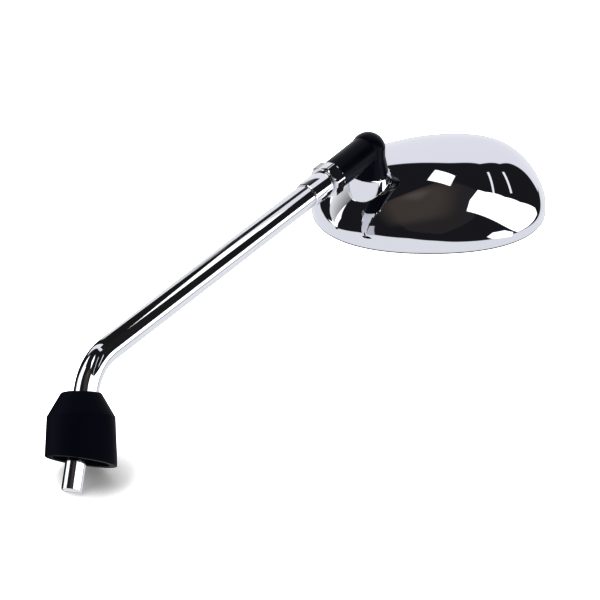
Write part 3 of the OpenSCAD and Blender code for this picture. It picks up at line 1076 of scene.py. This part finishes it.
@dataclass
class Head:
    """The mirror head: the domed shell with its ball boss, the seal and the glass."""

    layout: Layout
    half_l: float = 60.0
    half_w: float = 40.25
    squareness: float = 2.25
    wall_h: float = 5.0
    height: float = 38.0
    shift_x: float = 27.0
    shift_y: float = 4.0
    wall_swell: float = 0.955
    crown_swell: float = 1.4
    shell_wall: float = 2.2
    shell_foot: float = 0.82
    ball: Corner = (-31.5, -12.5, 22.5)
    boss_r: float = 14.0
    collar_r: float = 10.6
    collar_shift: Point = (0.7, 0.5)
    hole_r: float = 6.69
    eye_h: float = 15.0
    fillet: float = 0.4
    collar_round: float = 0.35
    around: int = 288
    rows: int = 150
    nearest: float = 3.0
    farthest: float = 150.0
    halvings: int = 26
    lip_inset: float = 0.4
    lip_t: float = 0.8
    lip_w: float = 4.4
    web_inset: float = 2.3
    web_h: float = 4.4
    web_gap: float = 0.08
    bed_h: float = 0.28
    bed_step_h: float = 0.25
    glass_inset: float = 3.4
    glass_front: float = 0.3
    glass_t: float = 2.0
    glass_curve_r: float = 1200.0
    glass_rings: int = 20

    def oval(self, angle: np.ndarray, inset: float | np.ndarray) -> tuple[np.ndarray, np.ndarray]:
        """The oval at angles, set in from the head's outline.

        Args:
            angle: angles round it, in radians.
            inset: how far in, in millimetres.

        Returns:
            The x and y of its points.
        """
        power = 2 / self.squareness
        c, s = np.cos(angle), np.sin(angle)
        return (np.sign(c) * (self.half_l - inset) * np.abs(c) ** power,
                np.sign(s) * (self.half_w - inset) * np.abs(s) ** power)

    def outside(self, x: np.ndarray, y: np.ndarray, z: np.ndarray) -> np.ndarray:
        """Tells which points lie outside the dome.

        Args:
            x: along the head.
            y: across the head.
            z: above the rim.

        Returns:
            True where a point lies outside.
        """
        share = np.clip((z - self.wall_h) / (self.height - self.wall_h), 0, 1)
        k = np.arcsin(share ** (1 / self.crown_swell))
        crown = np.maximum(np.cos(k), 1e-5) ** self.wall_swell
        power = 2 + (self.squareness - 2) * crown
        across = np.abs(x - self.shift_x * (1 - crown)) / (self.half_l * crown)
        wide = np.abs(y - self.shift_y * (1 - crown)) / (self.half_w * crown)
        return (across ** power + wide ** power > 1) | (z >= self.height)

    def dome_reach(self, way: tuple[np.ndarray, ...], height: float) -> np.ndarray:
        """How far the dome is from a point on the ball's axis.

        Args:
            way: x, y and z of each direction.
            height: the point's height above the rim.

        Returns:
            The distance in each direction, found by halving.
        """
        low = np.full(way[0].shape, self.nearest)
        high = np.full(way[0].shape, self.farthest)
        for _ in range(self.halvings):
            middle = (low + high) / 2
            out = self.outside(self.ball[0] + middle * way[0], self.ball[1] + middle * way[1],
                               height + middle * way[2])
            low, high = np.where(out, low, middle), np.where(out, middle, high)
        return low

    def reach(self, flat: np.ndarray, tilt: np.ndarray) -> np.ndarray:
        """How far the shell's surface is from the eye inside it.

        Args:
            flat: direction round the ball's axis, in radians.
            tilt: angle from that axis, in radians.

        Returns:
            The distance to the dome and its boss, with a fillet between them.
        """
        way = (np.sin(tilt) * np.cos(flat), np.sin(tilt) * np.sin(flat), np.cos(tilt))
        dome = self.dome_reach(way, self.eye_h)
        below = self.ball[2] - self.eye_h
        sphere = below * way[2] + np.sqrt(self.boss_r ** 2 - below ** 2 * (1 - way[2] ** 2))
        lean = self.collar_shift[0] * np.cos(flat) + self.collar_shift[1] * np.sin(flat)
        off = sum(value ** 2 for value in self.collar_shift)
        wall = lean + np.sqrt(self.collar_r ** 2 - off + lean ** 2)
        collar = wall / np.maximum(np.sin(tilt), 1e-4)
        boss = soft_least(sphere, collar, self.collar_round)
        return -soft_least(-dome, -boss, self.fillet)

    def shell_point(self, around: np.ndarray, along: np.ndarray) -> np.ndarray:
        """Lays the shell from the hole over the boss and the dome to the rim.

        Args:
            around: shares round the hole.
            along: shares from the hole to the rim.

        Returns:
            The points.
        """
        flat = 2 * pi * around
        edge = self.dome_reach((np.cos(flat), np.sin(flat), np.zeros(flat.shape)), 0.0)
        hole_h = self.ball[2] - self.eye_h + sqrt(self.boss_r ** 2 - self.hole_r ** 2)
        start = atan2(self.hole_r, hole_h)
        end = pi / 2 + np.arctan2(self.eye_h - self.shell_foot, edge)
        tilt = start + (end - start) * along
        r = self.reach(flat, tilt)
        return np.stack([self.ball[0] + r * np.sin(tilt) * np.cos(flat),
                         self.ball[1] + r * np.sin(tilt) * np.sin(flat),
                         self.eye_h + r * np.cos(tilt)], 1)

    def shell(self) -> bpy.types.Object:
        """Lays a rolled grid on the dome and its boss, and thickens it inwards.

        Returns:
            The shell.
        """
        bm = bmesh.new()
        rolled(bm, self.around, self.rows, self.shell_point)
        return thickened(piece("shell_plated", bm, self.layout.head), self.shell_wall)

    def seal(self) -> bpy.types.Object:
        """Lays a rolled grid on the seal's section: a lip under the shell and a web inside it.

        Returns:
            The seal.
        """
        inner = self.lip_inset + self.lip_w
        web = self.glass_inset - self.web_gap
        section = rounded([
            (inner, self.bed_step_h, 0), (inner, 0, 0.12), (self.lip_inset, 0, 0.3),
            (self.lip_inset, self.lip_t, 0.3), (self.web_inset, self.lip_t, 0),
            (self.web_inset, self.web_h, 0.2), (web, self.web_h, 0.2), (web, self.bed_h, 0),
            (inner, self.bed_h, 0), (inner, self.bed_step_h, 0)], steps=4)

        def place(around: np.ndarray, along: np.ndarray) -> np.ndarray:
            """Lays the seal.

            Args:
                around: shares round it.
                along: shares along its section.

            Returns:
                The points.
            """
            inset, height = traced(section, along)
            return np.stack([*self.oval(2 * pi * around, inset), height], 1)

        bm = bmesh.new()
        rolled(bm, self.around, len(section) - 1, place)
        return piece("rim_seal_moulded", bm, self.layout.head)

    def glass(self) -> bpy.types.Object:
        """Lays a rolled grid on the two faces and the edge of the convex glass.

        Returns:
            The glass.
        """
        centre, r = self.glass_front + self.glass_curve_r, self.glass_curve_r
        front = [(share / self.glass_rings, 0.0) for share in range(self.glass_rings + 1)]
        back = [(share, self.glass_t) for share, _ in reversed(front)]

        def place(around: np.ndarray, along: np.ndarray) -> np.ndarray:
            """Lays the glass.

            Args:
                around: shares round it.
                along: shares along its section.

            Returns:
                The points.
            """
            share, depth = traced(front + back, along)
            x, y = (value * share for value in self.oval(2 * pi * around, self.glass_inset))
            return np.stack([x, y, centre - np.sqrt((r - depth) ** 2 - x ** 2 - y ** 2)], 1)

        bm = bmesh.new()
        rolled(bm, self.around // 2, 2 * len(front) - 1, place)
        return piece("glass_convex", bm, self.layout.head)

    def build(self, palette: Palette) -> None:
        """Builds and dresses the head's outer pieces.

        Args:
            palette: the finished materials.
        """
        palette.dress(self.shell(), Slot.SHELL, "head", "head_shell")
        palette.dress(self.seal(), Slot.SEAL, "head", "rim_seal")
        palette.dress(self.glass(), Slot.GLASS, "head", "mirror_glass")


def soft_least(first: np.ndarray, second: np.ndarray, soft: float) -> np.ndarray:
    """The smaller of two lengths, with a rounded change from one to the other."""
    near = np.clip(0.5 + 0.5 * (second - first) / soft, 0, 1)
    return second + (first - second) * near - soft * near * (1 - near)


INNER_NODES: dict[str, Slot] = {
    "stem_stud": Slot.ZINC,
    "stem_insert": Slot.BRASS,
    "pivot_insert": Slot.BRASS,
    "pivot_stud": Slot.ZINC,
    "pressure_dish": Slot.ZINC,
    "pivot_spring": Slot.SPRING,
    "spring_washer": Slot.ZINC,
    "pivot_nut": Slot.ZINC,
    "outer_liner": Slot.LINER,
    "inner_liner": Slot.LINER,
    "adhesive_pad": Slot.PAD,
    "glass_carrier": Slot.CARRIER,
    "carrier_screws": Slot.ZINC,
}


# Studio

@dataclass(frozen=True)
class Card:
    """A patch of the studio that the bright metal mirrors, as a convex outline on the sky.

    Args:
        corners: elevation and bearing of each corner in degrees, in order round it.
        tone: its colour.
        soft: softness of its edge.
    """

    corners: tuple[Point, ...]
    tone: Colour
    soft: float = 0.01


class Rod(Enum):
    """The two straight rods that the painted reflection sheets stand beside."""

    ARM = "arm"
    PIN = "pin"


@dataclass(frozen=True)
class Board:
    """A curved sheet of painted reflection: only the bright metal near it mirrors it, as a bright or
    dark stripe.

    Args:
        name: the board's name.
        stations: distance down the rod in millimetres, the board's two edges as angles round
            the rod in degrees from the side that faces the camera, and its brightness at each
            of the two edges.
        radius: its distance from the rod's axis, in millimetres.
        rod: the rod that it stands beside.
        reach: the farthest that it is mirrored from, in millimetres.
    """

    name: str
    stations: tuple[tuple[float, ...], ...]
    radius: float = 60.0
    rod: Rod = Rod.ARM
    reach: float = 74.0


@dataclass(frozen=True)
class Lamp:
    """A lamp that the metal doesn't mirror.

    Args:
        name: the lamp's name.
        kind: Blender's kind of light.
        power: its power in watts.
        colour: its colour.
        way: the elevation and the bearing that it hangs at, in degrees.
        distance: how far off it hangs, in metres.
        settings: the light's own settings.
    """

    name: str
    kind: str
    power: float
    colour: Corner
    way: Point
    distance: float
    settings: dict[str, str | float | bool]


SOFT_LAMP = Lamp("soft_lamp", "AREA", 14, (1.0, 0.99, 0.97), (52, -75), 1.5,
                 {"shape": "DISK", "size": 0.9})
BOOT_LAMP = Lamp("boot_lamp", "SPOT", 0.35, (1.0, 0.97, 0.9), (48, -110), 0.35,
                 {"use_shadow": False, "shadow_soft_size": 0.05, "spot_size": radians(36),
                  "spot_blend": 1.0})
DARK = (0.012, 0.012, 0.015, 1)
CARDS: tuple[Card, ...] = (
    Card(((-13, 134.5), (-15, -140), (39, -153), (64, -170), (72, 145), (54, 118), (22.6, 126)),
         (1.0, 1.0, 1.06, 1), 0.012),
    Card(((6, -70), (15, -46), (15, -33), (9, -8), (-6, 13), (-12, -10), (-10, -72)),
         (0.98, 0.99, 1.03, 1), 0.01),
    Card(((-10, -140), (4, -140), (7, -128), (11, -109), (8, -76), (-10, -70)),
         (0.98, 0.99, 1.03, 1), 0.01),
    Card(((59, -64), (84, -55), (80, 12), (60, 38), (30, 25), (15, 4), (25, -13), (38, -22)),
         (0.026, 0.023, 0.024, 1), 0.02),
    Card(((58, -68), (80, -62), (82, -10), (66, 12), (38, 5), (34, -22)),
         (0.062, 0.05, 0.043, 1), 0.13),
    Card(((66, -56), (74, -50), (74, -28), (64, -24)), (0.1, 0.085, 0.075, 1), 0.06),
    Card(((59, -65), (84.5, -55), (84, -140), (60, -120)), DARK, 0.008),
    Card(((21, -130), (31, -139), (41, -119), (40, -101), (29, -81), (9, -72.5), (8, -77)),
         (2.0, 2.0, 2.05, 1), 0.01),
    Card(((21, -131), (24.5, -113), (23, -96), (8, -76), (9.5, -92), (11.3, -109), (7, -129)),
         DARK, 0.006),
    Card(((79, -109), (77, 4), (89, 134), (70, -154)), (2.6, 2.6, 2.7, 1), 0.006),
    Card(((60.3, 39.8), (52, 25), (40.4, 20), (-18, 68), (-14, 110), (-6.7, 107.6)),
         (2.6, 2.6, 2.7, 1), 0.008),
    Card(((60.3, 39.8), (54, 46), (35, 65), (17, 82), (-6.7, 107.6), (-6, 112), (40, 100),
          (70, 70)), DARK, 0.006),
    Card(((69.8, 91.5), (67.8, 92.5), (46.5, 56.2), (47.7, 53.9)), (1.2, 1.2, 1.25, 1), 0.006),
    Card(((52, 98.2), (49, 100.3), (30.7, 78.6), (32.7, 75.8)), (1.2, 1.2, 1.25, 1), 0.006),
    Card(((-3, 33), (3, 38), (0, 50), (-11, 60), (-30, 62), (-14, 39)), (2.4, 2.4, 2.5, 1), 0.012),
    Card(((31, -44), (32, -38), (14, -31), (12, -37)), (0.6, 0.6, 0.65, 1), 0.01),
)
# Painted reflections: glowing and near-black sheets beside the arm and the pin that paint bright and
# dark stripes into their chrome.
BOARDS: tuple[Board, ...] = (
    Board("painted_reflection_white", ((20, -63, -14, 1.1, 1.1), (45, -64, -14, 2, 2), (70, -66, -14, 2, 2),
                          (165, -60, -20, 2, 2), (182, -50, -25, 2, 2)), 61),
    Board("painted_reflection_fade", ((-17, -140, -49, 1.15, 0.02), (-1, -140, -50, 1.15, 0.02),
                         (72, -148, -90, 0.9, 0.015), (125, -152, -125, 0.7, 0.012),
                         (152, -152, -140, 0.5, 0.012), (190, -152, -146, 0.4, 0.012)), 59.4),
    Board("painted_dark_reflection_left", ((-17, -60, -50, 0.012, 0.012), (-1, -60, -50, 0.012, 0.012),
                         (72, -118, -62, 0.012, 0.012), (125, -128, -46, 0.012, 0.012),
                         (152, -140, -36, 0.012, 0.012), (190, -148, -28, 0.012, 0.012))),
    Board("painted_dark_reflection_right", ((50, -17, 25, 0.012, 0.012), (72, -20, 25, 0.012, 0.012),
                          (125, -27, 26, 0.014, 0.014), (152, -33, 26, 0.016, 0.016),
                          (180, -38, 26, 0.016, 0.016), (185, -62, 26, 0.016, 0.016),
                          (201, -62, 26, 0.016, 0.016))),
    Board("painted_dark_reflection_pin_edge", ((-95, -172, -108, 0.012, 0.012), (40, -172, -108, 0.012, 0.012)),
          70, Rod.PIN, 105),
    Board("painted_reflection_pin_white", ((-95, -103, -62, 1.6, 1.6), (40, -103, -62, 1.6, 1.6)),
          70, Rod.PIN, 105),
)


@dataclass
class Studio:
    """The pale floor, the soft room round it and the camera.

    The room is laid out on the head's rim plane: bearing 0 is towards the camera and grows to
    the camera's right, and elevation is the angle above the floor.
    """

    layout: Layout
    camera_elevation: float = 35.0
    camera_distance: float = 3000.0
    pixels_per_mm: float = 1.94
    frame_px: float = 600.0
    anchor: Point = (-0.2, 2.8)
    anchor_px: Point = (428.0, 207.0)
    sensor_mm: float = 36.0
    clip_end: float = 50.0
    floor_size: float = 2400.0
    floor_gap: float = 0.3
    floor_tone: Colour = (0.9, 0.9, 0.93, 1)
    floor_share: float = 0.45
    shade_middle: tuple[float, float, float] = (11.0, -2.0, -6.0)
    shade_reach: tuple[float, float] = (0.0, 44.0)
    table: Colour = (0.98, 0.99, 1.03, 1)
    horizon_tip: float = 0.4
    # board_steps and fade_power shape the painted reflection sheets and the fade of their glow across
    # each sheet
    board_steps: int = 32
    fade_power: float = 2.4

    def view_axes(self) -> tuple[Vector, Vector, Vector]:
        """The camera's right, up and backward directions.

        Returns:
            The three directions in the row frame.
        """
        head, tilt = self.layout.head, radians(self.camera_elevation)
        return (head.x, head.y * sin(tilt) + head.z * cos(tilt),
                head.z * sin(tilt) - head.y * cos(tilt))

    def camera(self) -> None:
        """Places the camera at the photograph's viewing angle."""
        right, up, back = self.view_axes()
        head = self.layout.head
        half = self.frame_px / 2
        aim = head.origin + (head.x * self.anchor[0] + head.y * self.anchor[1]) * MM
        aim -= right * (self.anchor_px[0] - half) / self.pixels_per_mm * MM
        aim -= up * (half - self.anchor_px[1]) / self.pixels_per_mm * MM
        data = bpy.data.cameras.new("camera")
        data.sensor_width = self.sensor_mm
        data.sensor_fit = "HORIZONTAL"
        data.lens = self.pixels_per_mm * self.camera_distance / self.frame_px * self.sensor_mm
        data.clip_end = self.clip_end
        made = linked("camera", data)
        turn = Matrix((right, up, back)).transposed().to_4x4()
        made.matrix_world = Matrix.Translation(aim + back * self.camera_distance * MM) @ turn
        bpy.context.scene.camera = made

    def floor(self) -> None:
        """Lays the pale floor under the rim, which only takes the soft shadow: a real cast shadow, kept
        to the boot's foot by a painted mask.
        """
        bm = bmesh.new()
        place = Matrix.Translation((0, 0, -self.floor_gap))
        bmesh.ops.create_grid(bm, x_segments=1, y_segments=1, size=self.floor_size / 2,
                              matrix=place)
        made = piece("floor", bm, self.layout.head, outwards=False)
        paint = bpy.data.materials.new("floor_white")
        tree = emptied(paint)
        pale = tree.node("ShaderNodeBsdfDiffuse", {"Color": self.floor_tone})
        clear = tree.node("ShaderNodeBsdfTransparent")
        spot = tree.node("ShaderNodeTexCoord").outputs["Object"]
        middle = tuple(value * MM for value in self.shade_middle)
        away = tree.node("ShaderNodeVectorMath", {0: spot, 1: middle},
                         operation="DISTANCE").outputs["Value"]
        near, far = (value * MM for value in self.shade_reach)
        # painted shadow limit: the catcher's share falls from 1 at shade_middle to floor_share past
        # shade_reach, so the cast shadow fades out away from the boot
        share = tree.spread(away, near, far, 1.0, self.floor_share, smooth=True)
        both = tree.node("ShaderNodeMixShader", {0: share, 1: clear.outputs[0],
                                                2: pale.outputs[0]})
        tree.node("ShaderNodeOutputMaterial", {"Surface": both.outputs[0]})
        made.data.materials.append(paint)
        made.is_shadow_catcher = True
        made.visible_glossy = False

    def direction(self, elevation: float, bearing: float) -> Vector:
        """A direction in the row frame from an elevation and a bearing in degrees."""
        head, e, b = self.layout.head, radians(elevation), radians(bearing)
        return head.x * cos(e) * sin(b) - head.y * cos(e) * cos(b) + head.z * sin(e)

    def card_mask(self, tree: Tree, spot: Socket, card: Card) -> Socket:
        """How much a direction lies in a card.

        Args:
            tree: the world's tree.
            spot: the direction.
            card: the card.

        Returns:
            1 inside and 0 outside.
        """
        ways = [self.direction(*corner) for corner in card.corners]
        middle = sum(ways, Vector()).normalized()
        mask: Socket | None = None
        for first, second in zip(ways, ways[1:] + ways[:1]):
            edge = first.cross(second).normalized()
            if edge.dot(middle) < 0:
                edge = -edge
            inside = tree.spread(tree.dot(spot, edge), -card.soft, card.soft, 0, 1, smooth=True)
            mask = inside if mask is None else tree.maths("MULTIPLY", mask, inside)
        return mask

    def world(self) -> None:
        """Builds the room that lights the part, with plain white behind it for the camera."""
        world = bpy.data.worlds.new("studio")
        bpy.context.scene.world = world
        tree = emptied(world)
        spot = tree.node("ShaderNodeTexCoord").outputs["Generated"]
        head = self.layout.head
        level = (head.z + head.x * self.horizon_tip).normalized()
        right = tree.spread(tree.dot(spot, level), -0.01, 0.01, 0, 1, smooth=True)
        left = tree.spread(tree.dot(spot, head.z), -0.02, 0.0, 0, 1, smooth=True)
        above = tree.maths("MAXIMUM", left, right)
        colour = tree.blend(above, self.table, DARK)
        for card in CARDS:
            colour = tree.blend(self.card_mask(tree, spot, card), colour, card.tone)
        room = tree.node("ShaderNodeBackground", {"Color": colour, "Strength": 1.0})
        white = tree.node("ShaderNodeBackground", {"Color": (1, 1, 1, 1), "Strength": 1.0})
        seen = tree.node("ShaderNodeLightPath").outputs["Is Camera Ray"]
        both = tree.node("ShaderNodeMixShader", {0: seen, 1: room.outputs[0], 2: white.outputs[0]})
        tree.node("ShaderNodeOutputWorld", {"Surface": both.outputs[0]})

    def stand(self, board: Board) -> None:
        """Stands a painted reflection sheet beside its rod, where it only shows in reflections.

        Args:
            board: its outline and tone.
        """
        back = self.view_axes()[2]
        rod = self.layout.arm if board.rod is Rod.ARM else self.layout.pin
        facing = (back - rod.z * back.dot(rod.z)).normalized()
        round_rod = Axes(rod.origin, facing, rod.z.cross(facing), rod.z)
        downs, lows, highs, firsts, lasts = np.array(board.stations).T
        bm = bmesh.new()
        tone = bm.verts.layers.float.new("tone")
        made = bmesh.ops.create_grid(bm, x_segments=self.board_steps,
                                     y_segments=self.board_steps, size=1)["verts"]
        for vert in made:
            down = np.interp((vert.co.y + 1) / 2, np.linspace(0, 1, len(downs)), downs)
            low, high, first, last = (np.interp(down, downs, values)
                                      for values in (lows, highs, firsts, lasts))
            across = (vert.co.x + 1) / 2
            angle = radians(low + (high - low) * across)
            vert[tone] = last + (first - last) * (1 - across) ** self.fade_power
            vert.co = (board.radius * cos(angle), board.radius * sin(angle), -down)
        thing = piece(board.name, bm, round_rod, outwards=False)
        paint = bpy.data.materials.new(board.name)
        tree = emptied(paint)
        shade = tree.node("ShaderNodeAttribute", attribute_name="tone").outputs["Fac"]
        # painted reflection: the sheet glows by its tone only for glossy rays shorter than its reach
        glow = tree.node("ShaderNodeEmission", {"Strength": shade})
        clear = tree.node("ShaderNodeBsdfTransparent")
        length = tree.node("ShaderNodeLightPath").outputs["Ray Length"]
        far = tree.maths("GREATER_THAN", length, board.reach * MM)
        both = tree.node("ShaderNodeMixShader", {0: far, 1: glow.outputs[0],
                                                 2: clear.outputs[0]})
        tree.node("ShaderNodeOutputMaterial", {"Surface": both.outputs[0]})
        thing.data.materials.append(paint)
        for ray in ("camera", "diffuse", "shadow", "transmission", "volume_scatter"):
            setattr(thing, f"visible_{ray}", False)

    def hang(self, lamp: Lamp, aim: Vector) -> None:
        """Hangs a lamp.

        Args:
            lamp: the lamp.
            aim: the point that it shines at.
        """
        data = bpy.data.lights.new(lamp.name, lamp.kind)
        data.energy, data.color = lamp.power, lamp.colour
        for key, value in lamp.settings.items():
            setattr(data, key, value)
        made = linked(lamp.name, data)
        away = self.direction(*lamp.way)
        made.location = aim + away * lamp.distance
        made.rotation_mode = "QUATERNION"
        made.rotation_quaternion = away.to_track_quat("Z", "Y")
        made.visible_glossy = False

    def build(self) -> None:
        """Builds the studio and sets how its light is shown."""
        self.camera()
        self.floor()
        self.world()
        # stands the painted reflection sheets
        for board in BOARDS:
            self.stand(board)
        self.hang(SOFT_LAMP, self.layout.head.origin)
        self.hang(BOOT_LAMP, self.layout.pin.origin)
        bpy.context.scene.view_settings.view_transform = "Standard"
        LOG.info("studio is set")


def main() -> None:
    """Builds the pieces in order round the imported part."""
    logging.basicConfig(level=logging.INFO, format="%(name)s: %(message)s")
    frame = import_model()
    layout = Layout.from_joints(frame["joints"], Head.ball)
    palette = Palette()
    for assembly in (Stem(layout), Boot(layout), LockNut(layout), Elbow(layout), Head(layout)):
        assembly.build(palette)
    for name, slot in INNER_NODES.items():
        palette.finish_node(frame["nodes"][name], slot)
    Studio(layout).build()


if __name__ == "__main__":
    main()
